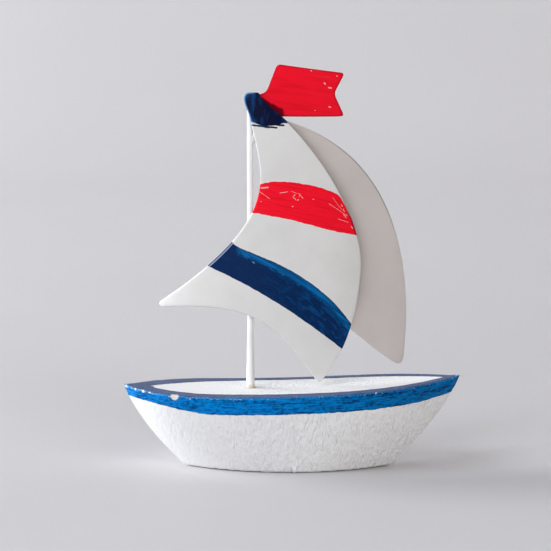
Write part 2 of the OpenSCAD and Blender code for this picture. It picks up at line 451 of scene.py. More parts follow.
MAST_R = 1.05
SHEET_OFFSET = MAST_R + 0.05 + SHEET_HALF
FRONT_RADIUS = 80.0
FRONT_BELLY_X = -6.0
FRONT_REACH = FRONT_RADIUS - SHEET_OFFSET
FRONT = Bend(
    (FRONT_BELLY_X, math.sqrt(FRONT_REACH ** 2 - (RIG_AXIS[0] - FRONT_BELLY_X) ** 2)), FRONT_RADIUS
)
REAR_RADIUS = 150.0
REAR_ANGLE = math.radians(3.0)
REAR = Bend(
    (
        RIG_AXIS[0] - REAR_RADIUS * math.sin(REAR_ANGLE),
        SHEET_OFFSET + REAR_RADIUS * math.cos(REAR_ANGLE),
    ),
    REAR_RADIUS,
)
PENNANT_RADIUS = 90.0
PENNANT = Bend((RIG_AXIS[0], SHEET_OFFSET + PENNANT_RADIUS), PENNANT_RADIUS)


def rounded(corners, radius):
    turns = []
    for before, here, after in zip(np.roll(corners, 1, axis=0), corners, np.roll(corners, -1, axis=0)):
        start = here + (before - here) * radius / np.linalg.norm(before - here)
        end = here + (after - here) * radius / np.linalg.norm(after - here)
        turns.append(bezier([start, here, end], 7))
    return np.vstack(turns)


def front_outline():
    fore = bezier([(-16.8, 132.2), (-16.9, 129.7), (-14.6, 126.8), (-14.2, 123)], 14)
    luff = bezier([(-14.2, 123), (-9.4, 101.8), (-4.4, 90.7), (-47, 58.5)], 90)
    tack = bezier([(-47, 58.5), (-48, 57.2), (-46.5, 56.5)], 9)
    foot = bezier([(-46.5, 56.5), (-16, 60.5), (-6, 55), (9, 31)], 80)
    clew = bezier([(9, 31), (9.9, 30.5), (10.8, 31.7)], 7)
    low = bezier([(10.8, 31.7), (20.5, 42), (24, 59), (24.5, 72)], 50)
    high = bezier([(24.5, 72), (24.6, 89.3), (12, 110.3), (-1.6, 124.2)], 80)
    peak = bezier([(-1.6, 124.2), (-5.6, 127.9), (-10.7, 131.4), (-11.2, 133.6)], 20)
    head = bezier([(-11.2, 133.6), (-11.5, 134.3), (-12.2, 134.3)], 5)
    cheek = bezier([(-15, 134.3), (-16.2, 134.3), (-16.8, 133.2), (-16.8, 132.2)], 8)
    return np.vstack([fore, luff, tack, foot, clew, low, high, peak, head, cheek])


def rear_outline():
    luff = bezier([(-14.2, 124.2), (-7.5, 112), (-8, 88), (-16, 75.6)], 70)
    tack = bezier([(-16, 75.6), (-16.6, 74.4), (-15.6, 74)], 7)
    foot = bezier([(-15.6, 74), (12, 59), (30, 39), (38.2, 34.6)], 80)
    clew = bezier([(38.2, 34.6), (40.5, 33.6), (40.8, 37.5)], 9)
    leech = bezier([(40.8, 37.5), (44.2, 73), (36, 112), (-2, 124)], 120)
    head = bezier([(-2, 124), (-4.5, 125), (-7, 125)], 6)
    fore = bezier([(-13.4, 125), (-14.4, 125), (-14.2, 124.2)], 5)
    return np.vstack([luff, tack, foot, clew, leech, head, fore])


def pennant_outline():
    corners = np.array([(-15, 125.8), (18.5, 125.0), (14.8, 133.2), (18.6, 140.3), (-5.2, 143.9),
                        (-9, 134.1), (-15, 132.2)])
    return rounded(corners, 1.5)


def sheet_piece(name, outline, bend, spacing, dents, seed):
    """A bent sheet with a rounded edge: rings step in from the outline as the faces part."""
    loop = resample(outline, OUTLINE_SPACING)
    area = 0.5 * np.sum(loop[:, 0] * np.roll(loop[:, 1], -1) - loop[:, 1] * np.roll(loop[:, 0], -1))
    if area < 0:
        loop = loop[::-1]
    ahead = np.roll(loop, -1, axis=0) - np.roll(loop, 1, axis=0)
    ahead /= np.linalg.norm(ahead, axis=1)[:, None]
    inward = np.column_stack([-ahead[:, 1], ahead[:, 0]])
    rings = [loop + inward * step for step in EDGE_RINGS]
    flat, tris = triangulate([rings[0]], spacing, margin=0.75, extra=rings[1:])
    gap = distance_to(flat, resample(loop, FINE_SPACING))
    edge = EDGE_RINGS[-1]
    round_off = np.sqrt(np.clip(1 - (1 - np.clip(gap / edge, 0, 1)) ** 2, 0, 1))
    on_edge = gap < 0.012
    half = SHEET_HALF * np.where(on_edge, 0.0, round_off)
    wave = dents * noise_at(np.column_stack([flat, np.zeros(len(flat))]), (0.035, 0.035, 1), seed)
    skin = 0.02 * noise_at(np.column_stack([flat, np.zeros(len(flat))]), (0.5, 0.5, 1), seed + 1)
    front = bend.place(flat, wave + half + skin * (half > 0.3))
    back = bend.place(flat, wave - half)
    count = len(flat)
    back_index = np.arange(count) + np.where(on_edge, 0, count)
    faces = [tuple(f) for f in tris] + [tuple(int(back_index[i]) for i in f[::-1]) for f in tris]
    made = new_object(name, np.vstack([front, back]), faces, merge=0.0005)
    here = mesh_points(made)
    bent_flat = np.column_stack([here[:, 0], here[:, 2]])
    set_value(made, "edge", distance_to(bent_flat, resample(loop, FINE_SPACING)))
    nearest = nearest_index(bent_flat, loop)
    # Where the outline faces aft, high on the sheet: the mask of the painted shade along the aft edge.
    set_value(made, "aft", smoothstep(0.3, 0.7, -inward[nearest, 0]) * smoothstep(78, 92, here[:, 2]))
    return made


def sheet_place(made, bend):
    """Each vertex's place on the sheet laid flat: along it, up it, and which face it is on."""
    here = mesh_points(made)
    reach = np.hypot(here[:, 0] - bend.axis[0], here[:, 1] - bend.axis[1]) - bend.radius
    return np.column_stack([bend.along(here[:, 0]), here[:, 2], reach])


def height_over(curve, x, z):
    """How far a point lies over a left-to-right curve, square to it. Its ends run on straight."""
    slope = np.gradient(curve[:, 1], curve[:, 0])
    at = np.interp(x, curve[:, 0], curve[:, 1])
    lean = np.interp(x, curve[:, 0], slope)
    at += np.where(x < curve[0, 0], (x - curve[0, 0]) * slope[0], 0)
    at += np.where(x > curve[-1, 0], (x - curve[-1, 0]) * slope[-1], 0)
    return (z - at) / np.sqrt(1 + lean ** 2)


RED_TOP = [(-11, 102.2), (-4.5, 105), (15.5, 101), (17.5, 96.5)]
RED_FOOT = [(-13, 92), (8.5, 88.5), (8.5, 86), (22.5, 83.5)]
BLUE_TOP = [(-21, 81.5), (-19, 77.5), (5.5, 75.5), (21.5, 51)]
BLUE_FOOT = [(-29.5, 72.5), (-11.5, 65), (1.5, 56.5), (18, 42.5)]
NAVY_FOOT = [(-15.5, 125.4), (-12.5, 121.6), (-5, 121.3), (-1.5, 124.4)]
# Scratches through the red stripe, from end to end along the flat sheet, and half width
RED_SCRATCHES = [
    ((-4.7, 100.9), (-2.4, 101.1), 0.30), ((-5.4, 99.6), (-1.7, 97.1), 0.09),
    ((1.8, 99.1), (4.5, 99.6), 0.13), ((5.6, 99.8), (8.3, 98.8), 0.07),
    ((6.4, 97.7), (7.0, 98.5), 0.16), ((6.4, 97.7), (7.4, 96.7), 0.14),
    ((7.8, 96.5), (8.3, 96.7), 0.17), ((8.7, 98.7), (9.8, 97.2), 0.14),
    ((8.7, 98.7), (8.5, 97.6), 0.09), ((6.1, 94.3), (6.3, 94.3), 0.20),
    ((-4.9, 96.1), (-4.8, 96.1), 0.15), ((19.2, 95.1), (26.0, 90.4), 0.08),
    ((23.8, 94.6), (24.2, 93.9), 0.16), ((24.5, 92.9), (24.9, 92.0), 0.14),
    ((22.6, 89.5), (26.4, 88.1), 0.09), ((24.6, 91.0), (25.7, 89.8), 0.14),
    ((27.6, 86.6), (28.1, 85.9), 0.18), ((13.2, 96.9), (13.7, 96.7), 0.10),
    ((20.5, 97.2), (24.0, 92.6), 0.06),
]
# Where the brush left fingers of navy under the painted head
NAVY_FINGERS = [
    ((-8.5, 123.0), (0.6, 122.1), 0.42), ((-3.0, 123.5), (3.0, 122.9), 0.50),
    ((-1.0, 124.4), (4.1, 123.9), 0.40),
]
BLUE_SPECKS = [((-7.8, 74.5), (-7.3, 74.2), 0.22)]
PENNANT_SPECKS = [
    ((21.5, 141.5), (21.7, 141.4), 0.20), ((26.4, 137.0), (26.8, 136.6), 0.24),
    ((28.0, 135.4), (29.0, 135.2), 0.22), ((23.0, 127.5), (23.1, 127.5), 0.17),
    ((28.2, 128.6), (28.7, 128.5), 0.24), ((31.0, 139.4), (31.3, 139.3), 0.16),
]
# Where navy from the head was dragged onto the pennant
PENNANT_SMEAR = [
    ((3.2, 132.2), (7.8, 128.9), 1.0), ((7.8, 128.9), (10.4, 127.0), 1.6),
    ((10.2, 127.2), (10.5, 125.0), 2.1),
]


def front_sail_piece():
    made = sheet_piece("front_sail_sheet", front_outline(), FRONT, 0.62, 0.12, 11)
    here = mesh_points(made)
    x, z = here[:, 0], here[:, 2]
    under_red_top = -height_over(bezier(RED_TOP, 60), x, z)
    over_red_foot = height_over(bezier(RED_FOOT, 60), x, z)
    under_blue_top = -height_over(bezier(BLUE_TOP, 60), x, z)
    over_blue_foot = height_over(bezier(BLUE_FOOT, 60), x, z)
    over_navy_foot = height_over(bezier(NAVY_FOOT, 40), x, z)
    place = sheet_place(made, FRONT)
    set_value(made, "red", np.minimum(under_red_top, over_red_foot))
    set_value(made, "blue", np.minimum(under_blue_top, over_blue_foot))
    set_value(made, "blue_top", under_blue_top)
    set_value(made, "navy", over_navy_foot)
    set_value(made, "front", smoothstep(-0.36, -0.2, place[:, 2]))
    set_vector(made, "place", place)
    # The brush followed whichever painted edge is nearest in height.
    across = np.where(z < 84, over_blue_foot, np.where(z < 112, over_red_foot, over_navy_foot))
    set_vector(made, "stroke", np.column_stack([x, across, place[:, 2] * 0.3]))
    return made


def plain_sheet_piece(name, outline, bend, spacing, dents, seed):
    made = sheet_piece(name, outline, bend, spacing, dents, seed)
    set_vector(made, "place", sheet_place(made, bend))
    return made


# ---- Mast and solder ----

# The mast's rounded top: share of its radius, and drop below the top
MAST_TOP = [(0.92, 0.16), (0.75, 0.05), (0.4, 0.0)]
MAST_TAPER = 22.0


def mast_piece():
    """A wire with slightly lumpy paint, thicker at its foot and plain where it is in the hull."""
    low, high = NODE_BOX["mast"]
    foot_r = (high[0] - low[0]) / 2
    deck = deck_z(RIG_AXIS[0])
    taper_top = deck + MAST_TAPER
    heights = np.concatenate([
        [low[2]], np.linspace(low[2] + 0.3, taper_top, 80), np.linspace(taper_top + 0.8, high[2] - 0.4, 110)
    ])
    around = np.linspace(0, 2 * math.pi, 41)[:-1]
    circle = np.column_stack([np.cos(around), np.sin(around)])
    rings = []
    for z in heights:
        wire = MAST_R + (foot_r - MAST_R) * (1 - np.clip((z - deck) / (taper_top - deck), 0, 1))
        ring = np.column_stack([circle, np.full(len(around), z)])
        lumps = 0.045 * noise_at(ring * (1.5, 1.5, 1.0), (0.7, 0.7, 0.28), 21) - 0.02
        if z < deck + 0.2:
            lumps = np.full(len(around), -0.01)
        ring[:, :2] = RIG_AXIS + circle * (wire + lumps)[:, None]
        rings.append(ring)
    for share, drop in MAST_TOP:
        ring = np.column_stack([RIG_AXIS + circle * MAST_R * share, np.full(len(around), high[2] - drop)])
        rings.append(ring)
    n, rows = len(around), len(rings)
    faces = tube_faces(0, rows, n)
    faces.append(tuple(range(n))[::-1])
    faces.append(tuple(range((rows - 1) * n, rows * n)))
    made = new_object("mast_wire", np.vstack(rings), faces)
    here = mesh_points(made)
    set_vector(made, "place", here)
    set_value(made, "base", here[:, 2] - deck)
    return made


def solder_piece(node, seed):
    """A lump of solder, drawn out up and down and sunk into the corner that it fills."""
    low, high = NODE_BOX[node]
    centre, half = (low + high) / 2, (high - low) / 2
    rows, n = 26, 34
    points = []
    for j in range(rows + 1):
        tilt = math.pi * j / rows
        for i in range(n):
            turn = 2 * math.pi * i / n
            spread = math.sin(tilt) ** 0.85
            points.append([spread * math.cos(turn), spread * math.sin(turn), -math.cos(tilt)])
    faces = tube_faces(0, rows + 1, n)
    unit = np.array(points)
    swell = 0.93 + 0.1 * noise_at(unit, (1.6, 1.6, 1.6), seed)
    slump = 1 - 0.16 * unit[:, 2:3]
    shape = unit * swell[:, None] * np.hstack([slump, slump, np.ones_like(slump)])
    made = new_object(node + "_bead", centre + shape * half * 0.97, faces, merge=0.004)
    set_vector(made, "place", mesh_points(made))
    return made


# ---- Materials ----

class Paint:
    """A node material as it is put together."""

    def __init__(self, name):
        self.material = bpy.data.materials.new(name)
        self.material.use_nodes = True
        self.tree = self.material.node_tree
        self.shader = self.tree.nodes["Principled BSDF"]

    def node(self, kind, **settings):
        made = self.tree.nodes.new(kind)
        for name, value in settings.items():
            setattr(made, name, value)
        return made

    def feed(self, socket, value):
        if isinstance(value, bpy.types.NodeSocket):
            self.tree.links.new(value, socket)
        elif socket.type == "RGBA" and not isinstance(value, float):
            socket.default_value = (*value, 1.0)
        else:
            socket.default_value = value

    def value(self, name):
        return self.node("ShaderNodeAttribute", attribute_name=name).outputs["Fac"]

    def vector(self, name):
        return self.node("ShaderNodeAttribute", attribute_name=name).outputs["Vector"]

    def parts(self, vector):
        """The three parts of a vector as separate values."""
        made = self.node("ShaderNodeSeparateXYZ")
        self.feed(made.inputs["Vector"], vector)
        return made.outputs

    def stretched(self, vector, scale, shift=(0, 0, 0)):
        made = self.node("ShaderNodeMapping")
        self.feed(made.inputs["Vector"], vector)
        made.inputs["Scale"].default_value = scale
        made.inputs["Location"].default_value = shift
        return made.outputs["Vector"]

    def turned(self, vector, degrees):
        made = self.node("ShaderNodeVectorRotate", rotation_type="Z_AXIS")
        self.feed(made.inputs["Vector"], vector)
        made.inputs["Angle"].default_value = math.radians(degrees)
        return made.outputs["Vector"]

    def noise(self, vector, scale=1.0, detail=4.0, rough=0.55, twist=0.0):
        made = self.node("ShaderNodeTexNoise")
        self.feed(made.inputs["Vector"], vector)
        made.inputs["Scale"].default_value = scale
        made.inputs["Detail"].default_value = detail
        made.inputs["Roughness"].default_value = rough
        made.inputs["Distortion"].default_value = twist
        return made.outputs["Fac"]

    def cells(self, vector, scale):
        made = self.node("ShaderNodeTexVoronoi")
        self.feed(made.inputs["Vector"], vector)
        made.inputs["Scale"].default_value = scale
        return made.outputs["Distance"]

    def calc(self, operation, a, b=0.0):
        """The result of a maths node, such as ABSOLUTE or MAXIMUM."""
        made = self.node("ShaderNodeMath", operation=operation)
        for socket, value in zip(made.inputs, (a, b)):
            self.feed(socket, value)
        return made.outputs[0]

    def plus(self, a, b):
        return self.calc("ADD", a, b)

    def minus(self, a, b):
        return self.calc("SUBTRACT", a, b)

    def times(self, a, b):
        return self.calc("MULTIPLY", a, b)

    def step(self, value, low, high, start=0.0, end=1.0):
        """A smooth step from start to end as value goes from low to high."""
        made = self.node("ShaderNodeMapRange", interpolation_type="SMOOTHSTEP")
        for name, number in (("Value", value), ("From Min", low), ("From Max", high),
                             ("To Min", start), ("To Max", end)):
            self.feed(made.inputs[name], number)
        return made.outputs[0]

    def mix(self, share, a, b):
        made = self.node("ShaderNodeMix", data_type="RGBA")
        self.feed(made.inputs["Factor"], share)
        # The node keeps sockets for numbers and vectors too. These are its colours.
        self.feed(made.inputs[6], a)
        self.feed(made.inputs[7], b)
        return made.outputs[2]

    def blend(self, share, a, b):
        """A number that goes from a to b with share."""
        return self.plus(a, self.times(share, self.minus(b, a)))

    def line(self, place, start, end, half):
        """1 within half millimetres of a straight scratch on the flat sheet, 0 off it."""
        run = (end[0] - start[0], end[1] - start[1], 0.0)
        offset = self.node("ShaderNodeVectorMath", operation="SUBTRACT")
        self.feed(offset.inputs[0], place)
        offset.inputs[1].default_value = (*start, 0.0)
        level = self.node("ShaderNodeVectorMath", operation="MULTIPLY")
        self.feed(level.inputs[0], offset.outputs[0])
        level.inputs[1].default_value = (1.0, 1.0, 0.0)
        dot = self.node("ShaderNodeVectorMath", operation="DOT_PRODUCT")
        self.feed(dot.inputs[0], level.outputs[0])
        dot.inputs[1].default_value = run
        share = self.node("ShaderNodeMath", operation="MULTIPLY", use_clamp=True)
        self.feed(share.inputs[0], dot.outputs["Value"])
        share.inputs[1].default_value = 1 / (run[0] ** 2 + run[1] ** 2)
        reach = self.node("ShaderNodeVectorMath", operation="SCALE")
        reach.inputs[0].default_value = run
        self.feed(reach.inputs["Scale"], share.outputs[0])
        gap = self.node("ShaderNodeVectorMath", operation="DISTANCE")
        self.feed(gap.inputs[0], level.outputs[0])
        self.feed(gap.inputs[1], reach.outputs[0])
        return self.step(gap.outputs["Value"], half, half * 0.5)

    def lines(self, place, scratches):
        """Where any of the scratches, each with a slightly shaky edge, lets the metal through."""
        shake = self.node("ShaderNodeTexNoise")
        self.feed(shake.inputs["Vector"], place)
        shake.inputs["Scale"].default_value = 1.7
        nudge = self.node("ShaderNodeVectorMath", operation="MULTIPLY_ADD")
        self.feed(nudge.inputs[0], shake.outputs["Color"])
        nudge.inputs[1].default_value = (0.5, 0.5, 0.0)
        nudge.inputs[2].default_value = (-0.25, -0.25, 0.0)
        moved = self.node("ShaderNodeVectorMath", operation="ADD")
        self.feed(moved.inputs[0], place)
        self.feed(moved.inputs[1], nudge.outputs[0])
        found = 0.0
        for start, end, half in scratches:
            found = self.calc("MAXIMUM", self.line(moved.outputs[0], start, end, half), found)
        return found

    def bump(self, height, distance, strength=1.0):
        """Relief: height from 0 to 1 stands distance millimetres tall."""
        made = self.node("ShaderNodeBump")
        self.feed(made.inputs["Height"], height)
        made.inputs["Distance"].default_value = distance * MM
        made.inputs["Strength"].default_value = strength
        return made.outputs["Normal"]

    def finish(self, colour, roughness, normal, specular):
        self.feed(self.shader.inputs["Base Color"], colour)
        self.feed(self.shader.inputs["Roughness"], roughness)
        self.feed(self.shader.inputs["Normal"], normal)
        self.feed(self.shader.inputs["Specular IOR Level"], specular)
        return self.material


TIN_WHITE = (0.745, 0.735, 0.725)
TIN_WHITE_SHADE = (0.685, 0.675, 0.66)
# The rear sail's white is the front sail's paint made darker and warmer: painted shade from the front sail
# standing between it and the light.
REAR_SHADED_WHITE = (0.63, 0.575, 0.555)
REAR_SHADED_WHITE_DARK = (0.58, 0.535, 0.515)
HULL_WHITE = (0.90, 0.90, 0.915)
HULL_WHITE_SHADE = (0.89, 0.88, 0.87)
DECK_WHITE_SHADED = (0.77, 0.77, 0.775)
WORN_WHITE = (0.70, 0.69, 0.68)
DRIP_HIGHLIGHT_WHITE = (0.97, 0.97, 0.97)
NICK_SHADE_GREY = (0.45, 0.43, 0.42)
PIT_GREY = (0.40, 0.38, 0.37)
UNDERCOAT = (0.86, 0.85, 0.83)
SOCKET_GRIME = (0.50, 0.38, 0.27)
TIN_SPECK = (0.58, 0.54, 0.48)
TIN_EDGE_SHADE = (0.27, 0.245, 0.23)
RAW_WOOD = (0.55, 0.36, 0.20)
BAND_BLUE = (0.0, 0.28, 0.82)
BAND_BLUE_DARK = (0.0, 0.07, 0.26)
BAND_STERN = (0.0, 0.185, 0.53)
BAND_STERN_DARK = (0.0, 0.035, 0.13)
BAND_PALE = (0.06, 0.42, 0.78)
BAND_RUB_AND_HIGHLIGHT = (0.40, 0.66, 0.86)
DECK_BLUE = (0.05, 0.10, 0.25)
DECK_BLUE_DARK = (0.03, 0.06, 0.15)
STRIPE_BLUE = (0.0, 0.15, 0.42)
STRIPE_DARK = (0.001, 0.019, 0.085)
STRIPE_DARK_DAB = (0.001, 0.055, 0.19)
STRIPE_SPECK = (0.2, 0.4, 0.6)
STRIPE_RIDGE_HIGHLIGHT = (0.42, 0.50, 0.68)
NAVY = (0.001, 0.004, 0.03)
NAVY_LIGHT = (0.001, 0.042, 0.16)
NAVY_EDGE_HIGHLIGHT = (0.16, 0.34, 0.62)
RED = (0.98, 0.007, 0.027)
RED_DEEP = (0.80, 0.004, 0.016)
RED_PALE = (0.95, 0.05, 0.08)
RED_DARK_END = (0.16, 0.0, 0.012)
RED_SCRATCHED = (0.86, 0.62, 0.60)
PENNANT_SMEARED = (0.10, 0.0, 0.008)
PENNANT_EDGE = (0.40, 0.001, 0.01)
PENNANT_SPECK = (0.86, 0.70, 0.70)
MAST_WHITE = (0.93, 0.93, 0.935)
MAST_WHITE_SHADE = (0.88, 0.87, 0.87)
MAST_AFT_SHADE = (0.46, 0.44, 0.43)
MAST_FOOT = (0.60, 0.49, 0.38)
SOLDER_WHITE = (0.78, 0.77, 0.76)
SOLDER_GREY = (0.62, 0.61, 0.60)
FLOOR_GREY = (0.548, 0.533, 0.541)
FLOOR_LIGHT = (0.562, 0.547, 0.555)


def hull_white(p, place, deck, aft, up):
    """Grimy, pitted white with painted shade on the deck and toward the stern, and a painted highlight and
    shade on the marks at its foot: the colour, and where the pits are.
    """
    grime = p.noise(place, 0.07, 3.0)
    grain = p.noise(p.stretched(place, (0.9, 0.9, 0.45)), 0.8, 5.0, 0.7)
    # Toward the stern the white turns darker and warmer in mottled patches: partly grime, partly painted
    # shade on the side away from the light.
    stern_shade_and_grime = p.times(p.step(aft, -15.0, 45.0), p.step(grime, 0.35, 0.65, 0.35, 1.0))
    white = p.mix(stern_shade_and_grime, HULL_WHITE, HULL_WHITE_SHADE)
    # The deck's top face takes a darker copy of the hull white: painted shade on the top face.
    white = p.mix(deck, white, DECK_WHITE_SHADED)
    white = p.mix(p.step(grain, 0.50, 0.74, 0.0, 0.30), white, WORN_WHITE)
    pit_field = p.cells(p.stretched(place, (1, 1, 1), (0.4, 2.1, 5.5)), 0.36)
    pit_size = p.step(p.noise(place, 0.35, 2.0), 0.35, 0.65, 0.09, -0.03)
    pits = p.step(p.plus(pit_field, pit_size), 0.09, 0.05)
    pits = p.times(pits, p.step(aft, -30.0, 30.0, 0.2, 1.0))
    white = p.mix(p.times(pits, 0.5), white, PIT_GREY)
    low = p.step(up, 2.8, 1.8)
    from_drip = p.calc("ABSOLUTE", p.minus(aft, DRIP_X))
    from_nick = p.calc("ABSOLUTE", p.minus(aft, NICK_X))
    drip = p.times(p.step(from_drip, 0.6, 0.3), low)
    nick = p.times(p.step(from_nick, 0.4, 0.15), low)
    # The run of paint is painted lighter as a painted highlight, and the nick beside it darker as painted
    # shade.
    white = p.mix(p.times(drip, 0.8), white, DRIP_HIGHLIGHT_WHITE)
    return p.mix(p.times(nick, 0.5), white, NICK_SHADE_GREY), pits


def hull_blue(p, stroke, deck, rim, aft, streaks, mottle):
    """The blue band: brighter at the bow, partly as painted reflection, flecked and rubbed along the rim,
    partly as painted highlight, dull on the deck.
    """
    body = p.plus(p.times(streaks, 0.5), p.times(mottle, 0.5))
    tone = p.step(body, 0.41, 0.55)
    bow_blue = p.mix(tone, BAND_BLUE_DARK, BAND_BLUE)
    stern_blue = p.mix(tone, BAND_STERN_DARK, BAND_STERN)
    # The band darkens from bow to stern: partly the paint's own tone, partly painted reflection on the bow
    # and painted shade toward the stern.
    colour = p.mix(p.step(aft, -35.0, 40.0), bow_blue, stern_blue)
    # Pale flecks and rubs gather along the rim: partly wear, partly a painted highlight on the rounded rim.
    flecks = p.noise(p.stretched(stroke, (0.9, 2.4, 2.0)), 1.0, 4.0, 0.65)
    fleck_cut = p.blend(p.step(rim, 1.5, 0.15), 0.69, 0.55)
    colour = p.mix(p.step(p.minus(flecks, fleck_cut), 0.0, 0.06), colour, BAND_PALE)
    rub_and_highlight = p.noise(p.stretched(stroke, (0.8, 2.0, 1.0), (7, 3, 1)), 1.0, 4.0, 0.7)
    rub_cut = p.blend(p.step(rim, 1.5, 0.6), 0.80, 0.525)
    rub_cut = p.plus(rub_cut, p.step(aft, -35.0, 0.0, 0.0, 0.05))
    rub_and_highlight = p.step(p.minus(rub_and_highlight, rub_cut), 0.0, 0.05, 0.0, 0.75)
    colour = p.mix(rub_and_highlight, colour, BAND_RUB_AND_HIGHLIGHT)
    deck_blue = p.mix(p.step(streaks, 0.35, 0.65), DECK_BLUE_DARK, DECK_BLUE)
    from_rim = p.plus(rim, p.step(mottle, 0.3, 0.7, -0.4, 0.4))
    flat = p.times(deck, p.step(from_rim, 0.3, 1.1))
    return p.mix(flat, colour, deck_blue)


def hull_relief(p, place, stroke, deck, aft, blue, mottle):
    """The brush's marks: upright dabs in the white, and long hair tracks in the blue."""
    fine = p.noise(p.stretched(place, (1.25, 1.0, 0.38)), 0.85, 3.0, 0.5)
    calm = p.times(p.step(aft, -45.0, -5.0, 0.2, 1.0), p.blend(deck, 1.0, 0.35))
    fine = p.times(fine, calm)
    brushed = p.noise(p.stretched(stroke, (0.25, 2.6, 1.5)), 1.4, 5.0, 0.6)
    film = p.plus(p.times(brushed, 0.55), p.times(mottle, 0.6))
    film = p.times(film, 0.5)
    return p.blend(blue, fine, p.plus(film, 0.3))


def hull_paint():
    p = Paint("hull_paint")
    place, stroke = p.vector("place"), p.vector("stroke")
    deck, rim = p.value("deck"), p.value("rim")
    aft, _, up = p.parts(place)
    ragged = p.noise(p.stretched(stroke, (0.4, 0.8, 0.8)), 0.9, 5.0, 0.6)
    streaks = p.noise(p.stretched(stroke, (0.12, 1.5, 1.0)), 1.0, 5.0, 0.66, 0.5)
    mottle = p.noise(p.stretched(stroke, (0.75, 1.2, 1.0), (5, 1, 0)), 0.9, 5.0, 0.75)
    blue_edge = p.plus(p.value("blue"), p.step(ragged, 0.3, 0.7, -0.17, 0.17))
    blue = p.step(blue_edge, -0.06, 0.06)

    white, pits = hull_white(p, place, deck, aft, up)
    painted = p.mix(blue, white, hull_blue(p, stroke, deck, rim, aft, streaks, mottle))
    chip_edge = p.plus(p.value("chip"), p.step(p.noise(place, 2.2, 3.0), 0.3, 0.7, -0.3, 0.3))
    chip = p.step(chip_edge, 0.02, 0.14)
    bare = p.mix(p.step(p.noise(place, 0.9, 2.0), 0.56, 0.66), UNDERCOAT, RAW_WOOD)
    painted = p.mix(chip, painted, bare)
    ring = p.step(p.plus(p.value("socket"), p.step(ragged, 0.3, 0.7, -0.2, 0.2)), 2.15, 1.85)
    painted = p.mix(p.times(ring, 0.6), painted, SOCKET_GRIME)

    relief = hull_relief(p, place, stroke, deck, aft, blue, mottle)
    relief = p.minus(relief, p.times(pits, 0.25))
    relief = p.minus(relief, p.times(chip, 0.4))
    gloss = p.blend(blue, 0.65, p.step(streaks, 0.3, 0.7, 0.48, 0.34))
    shine = p.blend(blue, 0.2, p.blend(deck, 0.04, 0.42))
    return p.finish(painted, gloss, p.bump(relief, 1.4, 1.0), shine)


def white_tin(p, place, light, shade):
    """White paint on sheet metal, darkened along the aft edge as painted shade where the edges face away
    from the light: the colour and the relief.
    """
    clouds = p.noise(place, 0.045, 3.0)
    colour = p.mix(p.step(clouds, 0.35, 0.7), light, shade)
    specks = p.step(p.noise(place, 1.3, 2.0, 0.4), 0.75, 0.80, 0.0, 0.4)
    colour = p.mix(specks, colour, TIN_SPECK)
    # Painted shade: the sheet's aft-facing edge is darkened where it turns away from the light.
    aft_edge_shade = p.times(p.step(p.value("edge"), 0.5, 0.15), p.value("aft"))
    colour = p.mix(p.times(aft_edge_shade, 0.8), colour, TIN_EDGE_SHADE)
    return colour, p.noise(place, 0.7, 6.0, 0.6)


def red_stripe(p, place, aft, edge_gap, edge, drag):
    """The red stripe: where it is, its colour, and where it is scratched."""
    depth = p.plus(p.value("red"), edge)
    tone = p.times(p.step(drag, 0.26, 0.58), p.step(depth, 0.0, 0.45, 0.25, 1.0))
    colour = p.mix(tone, RED_DEEP, RED)
    near_edge = p.step(p.plus(edge_gap, edge), 0.65, 0.25)
    dark_end = p.times(near_edge, p.step(aft, 20.0, 26.0))
    colour = p.mix(p.times(dark_end, 0.7), colour, RED_DARK_END)
    scratched = p.lines(place, RED_SCRATCHES)
    colour = p.mix(p.times(scratched, 0.75), colour, RED_SCRATCHED)
    return p.step(depth, -0.05, 0.05), colour, scratched


def blue_stripe(p, place, stroke, aft, edge_gap, edge, drag):
    """The blue stripe, brighter along its top: where it is, and its colour."""
    below_top = p.value("blue_top")
    depth = p.plus(p.value("blue"), p.times(edge, 0.6))
    dabs = p.noise(p.stretched(stroke, (0.28, 0.75, 1.0), (1, 9, 0)), 1.0, 5.0, 0.7, 0.6)
    dabbed = p.plus(below_top, p.step(dabs, 0.25, 0.75, -1.2, 1.2))
    bright = p.times(p.step(dabbed, 3.2, 1.2), p.step(below_top, 0.15, 0.9, 0.2, 1.0))
    bright = p.times(bright, p.step(aft, -14.6, -11.5))
    blotch = p.times(p.step(dabs, 0.46, 0.64), p.step(aft, -8.0, 16.0, 0.15, 1.0))
    colour = p.mix(blotch, STRIPE_DARK, STRIPE_DARK_DAB)
    bright_colour = p.mix(p.step(drag, 0.35, 0.6), STRIPE_DARK_DAB, STRIPE_BLUE)
    colour = p.mix(bright, colour, bright_colour)
    colour = p.mix(p.lines(place, BLUE_SPECKS), colour, STRIPE_SPECK)
    # A pale line along the luff's rounded edge: a painted highlight where the edge faces the light.
    ridge_highlight = p.times(p.step(edge_gap, 0.22, 0.36), p.step(edge_gap, 0.85, 0.5))
    ridge_highlight = p.times(p.times(ridge_highlight, p.step(aft, -12.5, -14.0)), 0.75)
    colour = p.mix(ridge_highlight, colour, STRIPE_RIDGE_HIGHLIGHT)
    return p.step(depth, -0.05, 0.05), colour


